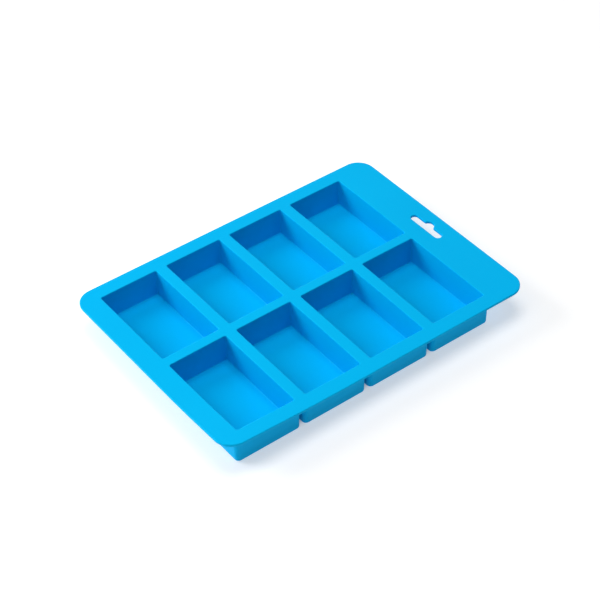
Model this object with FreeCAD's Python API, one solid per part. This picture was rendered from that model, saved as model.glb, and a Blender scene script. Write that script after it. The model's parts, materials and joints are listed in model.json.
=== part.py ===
import FreeCAD, Part
import os

# Silicone soap mould: eight drafted bar cavities, four columns by two rows, hang as
# thin-walled cups under one deck sheet. A wide flange at one end has a hang slot.
# The real mould is one moulding. It is split here where it changes stiffness: stiff
# columns (a panel of the deck with its two cups), and the thin webs that bend.
#
# Millimetres. The origin is on the ground under the middle of the deck, +X runs along
# the mould towards the hang flange, +Y towards the back row and +Z is up.

# cavities, at the deck's top face
column_count = 4
cavity_width = 47.0          # along X
cavity_length = 79.0         # along Y
cavity_depth = 23.0
column_pitch = 56.0
row_pitch = 87.0
cavity_draft = 0.3           # how much each wall leans in by the floor
cavity_corner_radius = 1.2
cavity_floor_radius = 1.0

# sheet and cups
mould_height = 26.5
deck_thickness = 2.0
wall_thickness = 3.3
cup_corner_radius = 3.5
cup_bottom_radius = 2.0

# margins of the deck outside the cavities
margin_plain_end = 16.5
margin_hang_end = 31.5
margin_side = 12.0
deck_corner_radius = 14.0
edge_radius = 0.5            # every rim and outer edge of the deck

# bending webs
tab_web_start = 4.0          # from the last cavity's edge to the flange's bending strip
tab_web_width = 8.0

# hang slot, the common 32 mm shape with a raised middle that centres it on a hook
slot_length = 32.0
slot_arm_width = 6.0
slot_height = 9.5            # arms and raised middle together
slot_peak_radius = 4.25
slot_peak_blend = 1.5
slot_from_cavity = 14.1      # from the last cavity's edge to the slot's near side

# derived places
grid_length = (column_count - 1) * column_pitch + cavity_width
deck_length = margin_plain_end + grid_length + margin_hang_end
deck_width = row_pitch + cavity_length + 2 * margin_side
deck_top = mould_height
deck_under = mould_height - deck_thickness
floor_height = mould_height - cavity_depth
first_column = -deck_length / 2 + margin_plain_end + cavity_width / 2
column_x = [first_column + i * column_pitch for i in range(column_count)]
row_y = {"front": -row_pitch / 2, "back": row_pitch / 2}
last_cavity_edge = column_x[-1] + cavity_width / 2
web_half_width = (column_pitch - cavity_width) / 2 - wall_thickness
spare = 1.0                  # how far a cutting solid reaches past a face


def vertical_edges(shape):
    """The straight edges that climb from the bottom of a solid to its top."""
    box = shape.BoundBox
    return [
        e for e in shape.Edges
        if e.BoundBox.ZMin < box.ZMin + 0.01 and e.BoundBox.ZMax > box.ZMax - 0.01
    ]


def edges_at(shape, height):
    """The edges that lie wholly at one height."""
    return [
        e for e in shape.Edges
        if abs(e.BoundBox.ZMin - height) < 0.01 and abs(e.BoundBox.ZMax - height) < 0.01
    ]


def drafted_block(width, length, low, high, draft, corner_radius, bottom_radius):
    """A block centred on Z, as wide as stated at its top, leaning in to its base.

    Its upright corners are rounded, and so is the edge round its base.
    """
    half_w, half_l = width / 2, length / 2
    block = Part.makeWedge(
        -half_w + draft, low, -half_l + draft, -half_l, -half_w,
        half_w - draft, high, half_l - draft, half_l, half_w,
    )
    block.rotate(FreeCAD.Vector(0, 0, 0), FreeCAD.Vector(1, 0, 0), 90)
    block = block.makeFillet(corner_radius, vertical_edges(block))
    return block.makeFillet(bottom_radius, edges_at(block, low))


def cavity_core():
    """The inside of one cavity, with its top carried a little past the deck."""
    lean = cavity_draft / cavity_depth
    return drafted_block(
        cavity_width + 2 * spare * lean,
        cavity_length + 2 * spare * lean,
        floor_height,
        deck_top + spare,
        cavity_draft + spare * lean,
        cavity_corner_radius,
        cavity_floor_radius,
    )


def placed(shape, x, y):
    moved = shape.copy()
    moved.translate(FreeCAD.Vector(x, y, 0))
    return moved


def slot_cutter():
    """The hang slot: round-ended arms along Y with a raised middle towards +X."""
    near_side = last_cavity_edge + slot_from_cavity
    arm_radius = slot_arm_width / 2
    arm_x = near_side + arm_radius
    end_y = slot_length / 2 - arm_radius
    low = deck_under - spare
    height = deck_thickness + 2 * spare
    cutter = Part.makeBox(
        slot_arm_width, 2 * end_y, height, FreeCAD.Vector(near_side, -end_y, low)
    )
    for y in (-end_y, end_y):
        end = Part.makeCylinder(arm_radius, height, FreeCAD.Vector(arm_x, y, low))
        cutter = cutter.fuse(end)
    peak_x = near_side + slot_height - slot_peak_radius
    peak = Part.makeCylinder(slot_peak_radius, height, FreeCAD.Vector(peak_x, 0, low))
    cutter = cutter.fuse(peak).removeSplitter()
    arm_side = near_side + slot_arm_width
    inner_corners = [
        e for e in vertical_edges(cutter)
        if abs(e.BoundBox.XMin - arm_side) < 0.01
        and abs(e.BoundBox.YMin) < slot_peak_radius
        and e.BoundBox.YLength < 0.01
        and abs(e.BoundBox.YMin) > 0.1
    ]
    return cutter.makeFillet(slot_peak_blend, inner_corners)


def deck_sheet():
    """The whole deck: rounded corners, soft rims, eight cavity mouths and the slot."""
    sheet = Part.makeBox(
        deck_length, deck_width, deck_thickness,
        FreeCAD.Vector(-deck_length / 2, -deck_width / 2, deck_under),
    )
    sheet = sheet.makeFillet(deck_corner_radius, vertical_edges(sheet))
    outline = edges_at(sheet, deck_top) + edges_at(sheet, deck_under)
    sheet = sheet.makeFillet(edge_radius, outline)
    core = cavity_core()
    for x in column_x:
        for y in row_y.values():
            sheet = sheet.cut(placed(core, x, y))
    sheet = sheet.cut(slot_cutter())
    half_l, half_w = deck_length / 2 - 1, deck_width / 2 - 1
    mouths = [
        e for e in edges_at(sheet, deck_top)
        if abs(e.CenterOfMass.x) < half_l and abs(e.CenterOfMass.y) < half_w
    ]
    return sheet.makeFillet(edge_radius, mouths)


def slice_of(sheet, start, end):
    """The stretch of the deck between two places along X."""
    window = Part.makeBox(
        end - start, deck_width + 2 * spare, deck_thickness + 2 * spare,
        FreeCAD.Vector(start, -deck_width / 2 - spare, deck_under - spare),
    )
    return sheet.common(window)


def cup(x, y):
    """One cup: thin drafted walls and a floor, open to the deck's mouth above it."""
    outside = drafted_block(
        cavity_width + 2 * wall_thickness,
        cavity_length + 2 * wall_thickness,
        0.0,
        deck_under,
        cavity_draft,
        cup_corner_radius,
        cup_bottom_radius,
    )
    return placed(outside.cut(cavity_core()), x, y)


def save(shape, node):
    solid = shape.Solids[0]
    solid.exportStep("parts/" + node + ".step")
    print(node, "volume", round(solid.Volume), "valid", solid.isValid(), len(shape.Solids))


os.makedirs("parts", exist_ok=True)
deck = deck_sheet()

# the bending strips: one half-way between each two columns, one at the flange's root
web_middle = [x + column_pitch / 2 for x in column_x[:-1]]
tab_web_low = last_cavity_edge + tab_web_start
tab_web_high = tab_web_low + tab_web_width
panel_start = [-deck_length / 2 - spare] + [x + web_half_width for x in web_middle]
panel_end = [x - web_half_width for x in web_middle] + [tab_web_low]

for i in range(column_count):
    number = str(i + 1)
    save(slice_of(deck, panel_start[i], panel_end[i]), "deck_panel_" + number)
    for row, y in row_y.items():
        save(cup(column_x[i], y), "cup_" + row + "_" + number)

for i, x in enumerate(web_middle):
    save(slice_of(deck, x - web_half_width, x + web_half_width), "cross_web_" + str(i + 1))

save(slice_of(deck, tab_web_low, tab_web_high), "tab_web")
save(slice_of(deck, tab_web_high, deck_length / 2 + spare), "hang_tab")
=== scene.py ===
import bpy
import bmesh
import json
from math import sin, cos, pi, radians, atan2, hypot
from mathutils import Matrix, Quaternion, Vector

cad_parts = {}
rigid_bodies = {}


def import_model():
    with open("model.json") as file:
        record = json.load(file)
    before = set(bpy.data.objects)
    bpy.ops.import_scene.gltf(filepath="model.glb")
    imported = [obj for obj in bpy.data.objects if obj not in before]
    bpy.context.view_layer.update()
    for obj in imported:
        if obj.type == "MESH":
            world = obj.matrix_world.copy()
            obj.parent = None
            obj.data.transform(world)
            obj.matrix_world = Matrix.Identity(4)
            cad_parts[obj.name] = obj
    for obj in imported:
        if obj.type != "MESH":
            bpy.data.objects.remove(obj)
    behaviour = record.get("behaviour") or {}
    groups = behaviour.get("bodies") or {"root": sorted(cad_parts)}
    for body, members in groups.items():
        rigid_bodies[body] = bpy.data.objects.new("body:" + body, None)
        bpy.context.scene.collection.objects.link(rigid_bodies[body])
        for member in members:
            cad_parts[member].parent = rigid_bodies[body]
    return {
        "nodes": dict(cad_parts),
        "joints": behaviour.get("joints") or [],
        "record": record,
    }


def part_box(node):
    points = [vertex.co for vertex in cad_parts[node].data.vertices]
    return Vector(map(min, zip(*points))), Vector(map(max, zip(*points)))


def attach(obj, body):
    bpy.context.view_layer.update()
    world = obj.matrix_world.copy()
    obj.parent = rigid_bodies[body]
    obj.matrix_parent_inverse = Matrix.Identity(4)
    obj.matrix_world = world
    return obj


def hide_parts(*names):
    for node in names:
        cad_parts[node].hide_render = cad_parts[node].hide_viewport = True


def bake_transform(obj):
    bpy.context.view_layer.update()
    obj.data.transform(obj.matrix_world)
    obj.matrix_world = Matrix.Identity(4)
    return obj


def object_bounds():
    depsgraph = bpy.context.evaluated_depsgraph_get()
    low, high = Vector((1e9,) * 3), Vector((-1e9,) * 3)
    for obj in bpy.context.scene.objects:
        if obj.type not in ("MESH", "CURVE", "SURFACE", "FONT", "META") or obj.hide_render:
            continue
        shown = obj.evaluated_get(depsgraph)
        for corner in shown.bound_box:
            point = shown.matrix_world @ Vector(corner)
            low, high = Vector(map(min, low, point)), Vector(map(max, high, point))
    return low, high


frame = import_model()
cadLow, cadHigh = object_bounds()
print("frame loaded:", len(frame["nodes"]), "CAD nodes")

# eight cups hang in columns under one sheet, which bends between the columns and at its flange
columnCount = sum(1 for node in frame["nodes"] if node.startswith("deck_panel_"))
cupNodes = [f"cup_{row}_{i}" for i in range(1, columnCount + 1) for row in ("front", "back")]
bodyOfNode = {
    node: body
    for body, nodes in frame["record"]["behaviour"]["bodies"].items()
    for node in nodes
}
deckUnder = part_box("cross_web_1")[0].z
deckTop = cadHigh.z
deckThickness = deckTop - deckUnder

closeEnough = {
    "samePlace": 1e-4,        # metres, as are the next two
    "sameHeight": 1e-5,
    "merge": 1e-6,
    "levelFace": 0.999,       # a face's normal points at least this much straight up or down
    "upright": 5,             # an upright edge climbs this many times further than it leans
}


def deselectAll():
    for thing in bpy.context.selected_objects:
        thing.select_set(False)


def choose(piece):
    # the one piece that the next operators act on
    deselectAll()
    bpy.context.view_layer.objects.active = piece
    piece.select_set(True)


def edit(piece):
    choose(piece)
    bpy.ops.object.mode_set(mode="EDIT")
    bpy.ops.mesh.select_all(action="DESELECT")


def leave():
    bpy.ops.object.mode_set(mode="OBJECT")


def pick(kind, wanted):
    # selects just the faces or edges of the edited mesh that pass the test
    bpy.ops.mesh.select_mode(type=kind)
    bpy.ops.mesh.select_all(action="DESELECT")
    data = bpy.context.object.data
    mesh = bmesh.from_edit_mesh(data)
    items = mesh.edges if kind == "EDGE" else mesh.faces
    for item in items:
        if wanted(item):
            item.select_set(True)
    mesh.select_flush_mode()
    bmesh.update_edit_mesh(data)


def isUpright(edge):
    a, b = edge.verts[0].co, edge.verts[1].co
    return abs(a.z - b.z) > closeEnough["upright"] * hypot(a.x - b.x, a.y - b.y)


def isLevelAt(edge, height):
    return all(abs(corner.co.z - height) < closeEnough["sameHeight"] for corner in edge.verts)


def addBlock(name, low, high):
    deselectAll()
    bpy.ops.mesh.primitive_cube_add(size=1, location=(low + high) / 2, scale=high - low)
    block = bpy.context.object
    block.name = name
    bpy.ops.object.transform_apply(location=True, rotation=True, scale=True)
    return block


def copyOf(piece, name, move=(0, 0, 0)):
    choose(piece)
    bpy.ops.object.duplicate()
    twin = bpy.context.object
    twin.name = name
    bpy.ops.transform.translate(value=move)
    bpy.ops.object.transform_apply(location=True, rotation=True, scale=True)
    return twin


def cutRows(axis, low, high, count):
    # evenly spaced rows of edges across the edited mesh, so that it can bend
    normal = (1, 0, 0) if axis == "x" else (0, 1, 0)
    for i in range(1, count):
        place = low + (high - low) * i / count
        bpy.ops.mesh.select_all(action="SELECT")
        bpy.ops.mesh.bisect(
            plane_co=[place * n for n in normal], plane_no=normal, threshold=closeEnough["merge"]
        )


def cutGrid(low, high, spacing):
    cutRows("x", low.x, high.x, round((high.x - low.x) / spacing))
    cutRows("y", low.y, high.y, round((high.y - low.y) / spacing))


class Wire:
    # one output socket; Python maths on it adds Math nodes

    def __init__(self, shader, socket):
        self.shader = shader
        self.socket = socket

    def maths(self, operation, first, second):
        inputs = {0: first, 1: second}
        return self.shader.node("ShaderNodeMath", {"operation": operation}, inputs)["Value"]

    def __add__(self, other):
        return self.maths("ADD", self, other)

    def __radd__(self, other):
        return self.maths("ADD", other, self)

    def __sub__(self, other):
        return self.maths("SUBTRACT", self, other)

    def __rsub__(self, other):
        return self.maths("SUBTRACT", other, self)

    def __mul__(self, other):
        return self.maths("MULTIPLY", self, other)

    def __rmul__(self, other):
        return self.maths("MULTIPLY", other, self)


class Shader:
    # the nodes of a material or a sky; node() makes one, sets it up and fills its inputs

    def __init__(self, owner):
        self.owner = owner
        owner.use_nodes = True
        owner.node_tree.nodes.clear()

    def node(self, kind, settings=None, inputs=None):
        tree = self.owner.node_tree
        made = tree.nodes.new(kind)
        for key, value in (settings or {}).items():
            setattr(made, key, value)
        for key, value in (inputs or {}).items():
            if isinstance(value, Wire):
                tree.links.new(value.socket, made.inputs[key])
            else:
                made.inputs[key].default_value = value
        return {out.name: Wire(self, out) for out in made.outputs if out.enabled}


silicone = {
    "colour": (0.0, 0.465, 0.85, 1),
    "cloudColour": (0.0, 0.42, 0.80, 1),
    "cloudScale": 14,         # slow clouding of colour and sheen, per metre
    "cloudDetail": 3,
    "roughness": 0.45,
    "roughnessSwing": 0.10,
    "ior": 1.41,
    "shine": 0.04,            # specular level
    "grainScale": 2600,       # fine moulded grain, per metre
    "grainDetail": 2,
    "grainDepth": 0.00002,
    "grainStrength": 0.25,
}


def siliconeMaterial():
    shader = Shader(bpy.data.materials.new("silicone"))
    place = shader.node("ShaderNodeTexCoord")["Object"]
    cloud = shader.node(
        "ShaderNodeTexNoise",
        {},
        {"Vector": place, "Scale": silicone["cloudScale"], "Detail": silicone["cloudDetail"]},
    )["Fac"]
    grain = shader.node(
        "ShaderNodeTexNoise",
        {},
        {"Vector": place, "Scale": silicone["grainScale"], "Detail": silicone["grainDetail"]},
    )["Fac"]
    colour = shader.node(
        "ShaderNodeMix",
        {"data_type": "RGBA"},
        {"Factor": cloud, "A": silicone["colour"], "B": silicone["cloudColour"]},
    )["Result"]
    bump = shader.node(
        "ShaderNodeBump",
        {},
        {"Height": grain, "Strength": silicone["grainStrength"], "Distance": silicone["grainDepth"]},
    )["Normal"]
    surface = shader.node(
        "ShaderNodeBsdfPrincipled",
        {},
        {
            "Base Color": colour,
            "Roughness": silicone["roughness"] + (cloud - 0.5) * silicone["roughnessSwing"],
            "IOR": silicone["ior"],
            "Specular IOR Level": silicone["shine"],
            "Normal": bump,
        },
    )["BSDF"]
    shader.node("ShaderNodeOutputMaterial", {}, {"Surface": surface})
    return shader.owner


siliconeSkin = siliconeMaterial()
print("material made")

cup = {
    "cornerRadius": 0.0035,
    "cornerSteps": 8,
    "bottomRadius": 0.002,
    "bottomSteps": 5,
    "outerLean": 0.0003,      # how far each wall leans in, from its top to its foot
    "wall": 0.003326,         # at the cup's open end
    "floor": 0.0035,
    "innerRadius": 0.0012,    # the cavity's upright corners
    "floorRadius": 0.001,
    "innerLean": 0.000274,
    "rowSpacing": 0.009,
}


def openBlock(name, low, high, lean, cornerRadius, footRadius):
    # a box without its top, its walls leaning in to a rounded foot
    piece = addBlock(name, low, high)
    edit(piece)
    pick("EDGE", isUpright)
    bpy.ops.mesh.bevel(offset=cornerRadius, segments=cup["cornerSteps"], affect="EDGES")
    pick("FACE", lambda face: face.normal.z < -closeEnough["levelFace"])
    narrowing = [1 - 2 * lean / (high - low)[i] for i in range(2)]
    bpy.ops.transform.resize(value=(*narrowing, 1), center_override=(low + high) / 2)
    pick("EDGE", lambda edge: isLevelAt(edge, low.z))
    bpy.ops.mesh.bevel(offset=footRadius, segments=cup["bottomSteps"], affect="EDGES")
    pick("FACE", lambda face: face.normal.z > closeEnough["levelFace"])
    bpy.ops.mesh.delete(type="FACE")
    leave()
    return piece


def makeCup(node):
    low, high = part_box(node)
    wall = Vector((cup["wall"], cup["wall"], 0))
    floor = Vector((0, 0, cup["floor"]))
    hollow = openBlock(
        "hollow", low + wall + floor, high - wall,
        cup["innerLean"], cup["innerRadius"], cup["floorRadius"],
    )
    edit(hollow)
    bpy.ops.mesh.select_all(action="SELECT")
    bpy.ops.mesh.flip_normals()
    leave()
    piece = openBlock(
        node + "_pattern", low, high, cup["outerLean"], cup["cornerRadius"], cup["bottomRadius"]
    )
    # the hollow and the outside become one shell, joined round their open tops
    hollow.select_set(True)
    bpy.ops.object.join()
    edit(piece)
    pick("EDGE", lambda edge: edge.is_boundary)
    bpy.ops.mesh.bridge_edge_loops()
    cutGrid(low, high, cup["rowSpacing"])
    leave()
    return piece


firstCup = makeCup("cup_front_1")
print("cup made:", len(firstCup.data.polygons), "faces")

pieces = {}
for node in cupNodes:
    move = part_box(node)[0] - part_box("cup_front_1")[0]
    pieces[node] = copyOf(firstCup, node + "_shell", move)
bpy.data.objects.remove(firstCup)

deck = {
    "cornerRadius": 0.014,
    "cornerSteps": 20,
    "edgeRadius": 0.0005,
    "edgeSteps": 3,
    "flatBand": 0.0004,       # level ring beside each rounded rim
    "mouthWidth": 0.047,
    "mouthLength": 0.079,
    "mouthRadius": 0.0012,
    "mouthSteps": 5,
    "mouthLean": 0.000026,    # the cavity walls' lean over the sheet's own thickness
    "rowSpacing": 0.009,
}
rimWidth = deck["edgeRadius"] + deck["flatBand"]

slot = {
    "length": 0.032,
    "armWidth": 0.006,
    "height": 0.0095,         # arms and raised middle together
    "peakRadius": 0.00425,
    "blend": 0.0015,          # where the raised middle leaves the arms
    "fromFlange": 0.0021,     # from the flange's inner side to the slot's near side
    "steps": 10,
    "seed": 0.001,            # side of the little plane that shrinks to the outline's first point
}


def roundOver(radius, steps):
    # takes the picked level face inwards and down over a rounded rim
    for i in range(steps):
        start = pi / 2 * i / steps
        end = pi / 2 * (i + 1) / steps
        inwards = radius * (sin(end) - sin(start))
        rise = radius * (cos(end) - cos(start))    # below zero, so the face sinks
        bpy.ops.mesh.inset(thickness=inwards, depth=rise)


def sinkOpening(lean):
    # a level band, the rounded rim, then on down to the sheet's underside
    bpy.ops.mesh.inset(thickness=deck["flatBand"])
    roundOver(deck["edgeRadius"], deck["edgeSteps"])
    bpy.ops.mesh.inset(thickness=lean, depth=deck["edgeRadius"] - deckThickness)
    bpy.ops.mesh.delete(type="ONLY_FACE")


def shapeOutline():
    # rounds the deck's corners and outer edges, and leaves it open above and below
    pick("EDGE", isUpright)
    bpy.ops.mesh.bevel(offset=deck["cornerRadius"], segments=deck["cornerSteps"], affect="EDGES")
    pick("EDGE", lambda edge: isLevelAt(edge, deckUnder) or isLevelAt(edge, deckTop))
    bpy.ops.mesh.bevel(offset=deck["edgeRadius"], segments=deck["edgeSteps"], affect="EDGES")
    pick("FACE", lambda face: abs(face.normal.z) > closeEnough["levelFace"])
    bpy.ops.mesh.inset(thickness=deck["flatBand"])
    bpy.ops.mesh.delete(type="ONLY_FACE")


def addMouth(cupNode):
    low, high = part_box(cupNode)
    middle = Vector(((low.x + high.x) / 2, (low.y + high.y) / 2, deckTop))
    bpy.ops.mesh.select_all(action="DESELECT")
    bpy.ops.mesh.primitive_plane_add(size=1, location=middle)
    sides = (deck["mouthWidth"] + 2 * rimWidth, deck["mouthLength"] + 2 * rimWidth, 1)
    bpy.ops.transform.resize(value=sides, center_override=middle)
    radius = deck["mouthRadius"] + rimWidth
    bpy.ops.mesh.bevel(offset=radius, segments=deck["mouthSteps"], affect="VERTICES")
    pick("FACE", lambda face: (face.calc_center_median() - middle).length < closeEnough["samePlace"])
    sinkOpening(deck["mouthLean"])


def arc(centre, radius, start, end, steps):
    # points round an arc, its angles measured from +X towards +Y
    return [
        (centre[0] + radius * cos(start + (end - start) * i / steps),
         centre[1] + radius * sin(start + (end - start) * i / steps))
        for i in range(steps + 1)
    ]


def slotOutline(nearSide, grow):
    # once round the slot, with every side moved out by grow
    armRadius = slot["armWidth"] / 2
    armX = nearSide + armRadius
    endY = slot["length"] / 2 - armRadius
    peakX = nearSide + slot["height"] - slot["peakRadius"]
    # the blend's circle touches the arm's far side and the raised middle's circle
    blendX = nearSide + slot["armWidth"] + slot["blend"]
    reach = slot["peakRadius"] + slot["blend"]
    blendY = (reach ** 2 - (blendX - peakX) ** 2) ** 0.5
    turn = atan2(blendY, blendX - peakX)
    steps = slot["steps"]
    half = arc((peakX, 0), slot["peakRadius"] + grow, 0, turn, steps)
    half += arc((blendX, blendY), slot["blend"] - grow, turn + pi, pi, steps // 2)[1:]
    half += arc((armX, endY), armRadius + grow, 0, pi, 2 * steps)
    return half + [(x, -y) for x, y in reversed(half[1:])]


def drawFace(points, height):
    # draws an outline corner by corner, then closes it with one face that looks up
    bpy.ops.mesh.select_mode(type="VERT")
    bpy.ops.mesh.select_all(action="DESELECT")
    bpy.ops.mesh.primitive_plane_add(size=slot["seed"], location=(*points[0], height))
    bpy.ops.mesh.merge(type="CENTER")
    for (x, y), (nextX, nextY) in zip(points, points[1:]):
        step = (nextX - x, nextY - y, 0)
        bpy.ops.mesh.extrude_region_move(TRANSFORM_OT_translate={"value": step})
    bpy.ops.mesh.select_linked()
    bpy.ops.mesh.edge_face_add()
    bpy.ops.mesh.select_mode(type="FACE")
    mesh = bmesh.from_edit_mesh(bpy.context.object.data)
    if any(face.select and face.normal.z < 0 for face in mesh.faces):
        bpy.ops.mesh.flip_normals()


def addSlot():
    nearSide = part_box("hang_tab")[0].x + slot["fromFlange"]
    drawFace(slotOutline(nearSide, rimWidth), deckTop)
    sinkOpening(0)


def closeDeck():
    # the level faces between the outline and the openings, above and below
    for height in (deckTop, deckUnder):
        pick("EDGE", lambda edge: isLevelAt(edge, height) and edge.is_boundary)
        bpy.ops.mesh.fill(use_beauty=True)
    bpy.ops.mesh.select_all(action="SELECT")
    bpy.ops.mesh.remove_doubles(threshold=closeEnough["merge"])
    bpy.ops.mesh.normals_make_consistent(inside=False)


def makeDeck():
    low = Vector((cadLow.x, cadLow.y, deckUnder))
    piece = addBlock("deck_pattern", low, cadHigh)
    edit(piece)
    shapeOutline()
    for cupNode in cupNodes:
        addMouth(cupNode)
    addSlot()
    closeDeck()
    cutGrid(low, cadHigh, deck["rowSpacing"])
    leave()
    return piece


wholeDeck = makeDeck()
print("deck made:", len(wholeDeck.data.polygons), "faces")

bendRows = {"cross_web": 10, "tab_web": 14}    # rows of edges along each strip that bends


def cutOff(place, side):
    # drops what lies beyond a place along X, and closes the cut
    bpy.ops.mesh.select_all(action="SELECT")
    bpy.ops.mesh.bisect(
        plane_co=(place, 0, 0), plane_no=(side, 0, 0),
        use_fill=True, clear_outer=True, threshold=closeEnough["merge"],
    )


def sliceOf(node):
    # the stretch of the deck that one node stands for
    low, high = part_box(node)
    piece = copyOf(wholeDeck, node + "_sheet")
    edit(piece)
    if low.x > cadLow.x + closeEnough["samePlace"]:
        cutOff(low.x, -1)
    if high.x < cadHigh.x - closeEnough["samePlace"]:
        cutOff(high.x, 1)
    for strip, rows in bendRows.items():
        if node.startswith(strip):
            cutRows("x", low.x, high.x, rows)
    leave()
    return piece


for node in frame["nodes"]:
    if node not in pieces:
        pieces[node] = sliceOf(node)
bpy.data.objects.remove(wholeDeck)
print("deck parted into", len(pieces) - len(cupNodes), "pieces")

# how the soft mould rests: its edges sag a little and one corner curls up
rest = {
    "points": 5,              # lattice points each way across the mould
    "outermost": 0.49,        # lattice points past this, of 0.5, are on the mould's edge
    "sag": -0.0008,           # of the lattice's edge points
    "curl": 0.0039,           # of its corner point; the sheet there rises a little over half as far
}


def makeRestLattice():
    deselectAll()
    bpy.ops.object.add(type="LATTICE", location=(cadLow + cadHigh) / 2)
    lattice = bpy.context.object
    lattice.scale = cadHigh - cadLow
    grid = lattice.data
    grid.points_u = grid.points_v = rest["points"]
    grid.points_w = 2
    grid.interpolation_type_w = "KEY_LINEAR"
    for point in grid.points:
        x, y = point.co.x, point.co.y
        lift = 0
        if max(abs(x), abs(y)) > rest["outermost"]:
            lift = rest["sag"]
        if max(x, y) < -rest["outermost"]:
            lift = rest["curl"]
        if point.co.z > 0:      # the cups' feet stay on the ground
            point.co_deform.z = point.co.z + lift / lattice.scale.z
    return lattice


lattice = makeRestLattice()
for piece in pieces.values():
    choose(piece)
    bpy.ops.object.modifier_add(type="LATTICE")
    piece.modifiers[-1].object = lattice
    bpy.ops.object.modifier_apply(modifier=piece.modifiers[-1].name)
bpy.data.objects.remove(lattice)
print("sheet relaxed")

sharpAngle = 40               # degrees between two faces that keep a hard edge


def smoothOver(piece):
    # soft shading over the rounded edges, with the broad faces kept flat
    choose(piece)
    bpy.ops.object.shade_smooth_by_angle(angle=radians(sharpAngle))
    bpy.ops.object.modifier_add(type="WEIGHTED_NORMAL")
    piece.modifiers[-1].keep_sharp = True
    bpy.ops.object.modifier_apply(modifier=piece.modifiers[-1].name)


def jointThatBends(node):
    for joint in frame["joints"]:
        if any(bent["node"] == node for bent in joint["deforming_nodes"]):
            return joint
    return None


def bendAcross(piece, node, joint):
    # finds the strip's two sides, the one next to the parent first, but only bakes the strip's
    # placement into its mesh; the sides are not used
    low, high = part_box(node)
    sides = [Vector((low.x, 0, low.z)), Vector((high.x, 0, low.z))]
    childPanel = next(
        name for name, body in bodyOfNode.items()
        if body == joint["child"] and "cup" not in name
    )
    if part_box(childPanel)[0].x < low.x:
        sides.reverse()
    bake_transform(piece)


for node, piece in pieces.items():
    smoothOver(piece)
    piece.data.materials.append(siliconeSkin)
    joint = jointThatBends(node)
    if joint:
        bendAcross(piece, node, joint)
    else:
        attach(piece, bodyOfNode[node])
    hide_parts(node)
print("pieces placed:", len(pieces))

studioFloor = {
    "size": 3,
    "gap": 0.0001,            # between the floor and the cups' feet
    "colour": (0.6, 0.6, 0.6, 1),
    "roughness": 0.9,
    "glow": 0.50,             # painted light: the floor's own glow, which fades the mould's cast shadow; it is cut away under the cups as painted shade
    "paintedShadeEdge": 0.012,       # how softly that painted shade under them fades in
}


def makeFloor():
    height = cadLow.z - studioFloor["gap"]
    deselectAll()
    bpy.ops.mesh.primitive_plane_add(size=studioFloor["size"], location=(0, 0, height))
    floor = bpy.context.object
    floor.name = "studio_floor"
    bpy.ops.object.transform_apply(location=True, rotation=True, scale=True)
    shader = Shader(bpy.data.materials.new("floor"))
    place = shader.node("ShaderNodeTexCoord")["Object"]
    along = shader.node("ShaderNodeSeparateXYZ", {}, {"Vector": place})
    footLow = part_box("cup_front_1")[0]
    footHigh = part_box(f"cup_back_{columnCount}")[1]
    # painted shade: the floor's glow is masked off over the cups' footprint
    paintedShadeUnderCups = []
    for axis, low, high in (("X", footLow.x, footHigh.x), ("Y", footLow.y, footHigh.y)):
        offCentre = along[axis] - (low + high) / 2
        reach = shader.node("ShaderNodeMath", {"operation": "ABSOLUTE"}, {0: offCentre})["Value"]
        under = shader.node(
            "ShaderNodeMapRange",
            {"interpolation_type": "SMOOTHSTEP"},
            {
                "Value": reach,
                "From Min": (high - low) / 2 - studioFloor["paintedShadeEdge"],
                "From Max": (high - low) / 2,
                "To Min": 1.0,
                "To Max": 0.0,
            },
        )["Result"]
        paintedShadeUnderCups.append(under)
    # painted light: the floor glows everywhere except under the cups
    glow = shader.node(
        "ShaderNodeMix",
        {"data_type": "RGBA"},
        {"Factor": paintedShadeUnderCups[0] * paintedShadeUnderCups[1], "A": (1, 1, 1, 1), "B": (0, 0, 0, 1)},
    )["Result"]
    surface = shader.node(
        "ShaderNodeBsdfPrincipled",
        {},
        {
            "Base Color": studioFloor["colour"],
            "Roughness": studioFloor["roughness"],
            "Emission Color": glow,
            "Emission Strength": studioFloor["glow"],
        },
    )["BSDF"]
    shader.node("ShaderNodeOutputMaterial", {}, {"Surface": surface})
    floor.data.materials.append(shader.owner)


studioSky = {
    "strength": 0.145,
    "horizonStrength": 1.9,   # a glow low down behind the mould
    "horizonHeight": 0.6,     # where that glow ends, 1 being overhead
    "horizonTurn": 0.4,       # full past this much of +Y, gone past as much of -Y
    "backdrop": 1.0,          # what the eye sees past the floor
}


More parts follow.
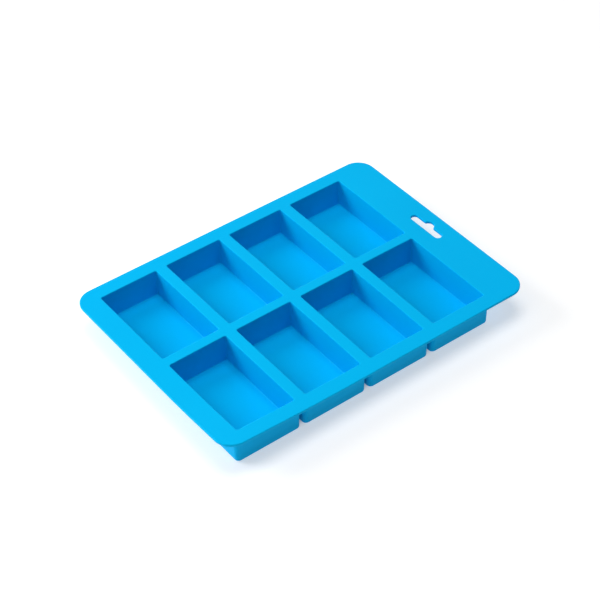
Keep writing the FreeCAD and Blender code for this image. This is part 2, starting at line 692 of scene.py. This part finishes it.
def makeSky():
    shader = Shader(bpy.data.worlds.new("sky"))
    outlook = shader.node("ShaderNodeTexCoord")["Generated"]
    towards = shader.node("ShaderNodeSeparateXYZ", {}, {"Vector": outlook})
    ramps = []
    for axis, start, end in (
        ("Z", studioSky["horizonHeight"], 0.0),
        ("Y", -studioSky["horizonTurn"], studioSky["horizonTurn"]),
    ):
        inputs = {"Value": towards[axis], "From Min": start, "From Max": end}
        ramp = shader.node("ShaderNodeMapRange", {"interpolation_type": "SMOOTHSTEP"}, inputs)
        ramps.append(ramp["Result"])
    light = studioSky["strength"] + ramps[0] * ramps[1] * studioSky["horizonStrength"]
    seen = shader.node("ShaderNodeLightPath")["Is Camera Ray"]
    strength = seen * studioSky["backdrop"] + (1 - seen) * light
    glow = shader.node("ShaderNodeBackground", {}, {"Color": (1, 1, 1, 1), "Strength": strength})
    shader.node("ShaderNodeOutputWorld", {}, {"Surface": glow["Background"]})
    bpy.context.scene.world = shader.owner


softLights = {
    "overhead": {"place": (0, 0, 1.5), "size": 0.8, "power": 9.9},
    "leftHigh": {"place": (-0.75, 0, 1.3), "size": 0.8, "power": 3.0},
    "window": {"place": (-0.9, 0.9, 0.8), "size": 0.8, "power": 13.4},
}


def aim(thing, target):
    thing.rotation_mode = "QUATERNION"
    thing.rotation_quaternion = (Vector(target) - thing.location).to_track_quat("-Z", "Y")


def makeLights():
    for name, light in softLights.items():
        deselectAll()
        bpy.ops.object.light_add(type="AREA", location=light["place"])
        lamp = bpy.context.object
        lamp.name = name + "_light"
        lamp.data.shape = "DISK"
        lamp.data.size = light["size"]
        lamp.data.energy = light["power"]
        aim(lamp, (0, 0, 0))


viewpoint = {
    "target": (-0.0057, -0.0071, 0.0265),
    "distance": 1.202,
    "azimuth": -36.32,        # degrees round from looking along +Y
    "elevation": 42.32,
    "roll": -1.33,
    "lens": 102.1,
}


def makeCamera():
    target = Vector(viewpoint["target"])
    around = radians(viewpoint["azimuth"])
    above = radians(viewpoint["elevation"])
    back = Vector((sin(around) * cos(above), -cos(around) * cos(above), sin(above)))
    deselectAll()
    bpy.ops.object.camera_add(location=target + viewpoint["distance"] * back)
    camera = bpy.context.object
    camera.data.lens = viewpoint["lens"]
    aim(camera, target)
    camera.rotation_quaternion @= Quaternion((0, 0, 1), radians(viewpoint["roll"]))
    bpy.context.scene.camera = camera


makeFloor()
makeSky()
makeLights()
makeCamera()
bpy.context.scene.view_settings.view_transform = "Standard"
print("studio made")
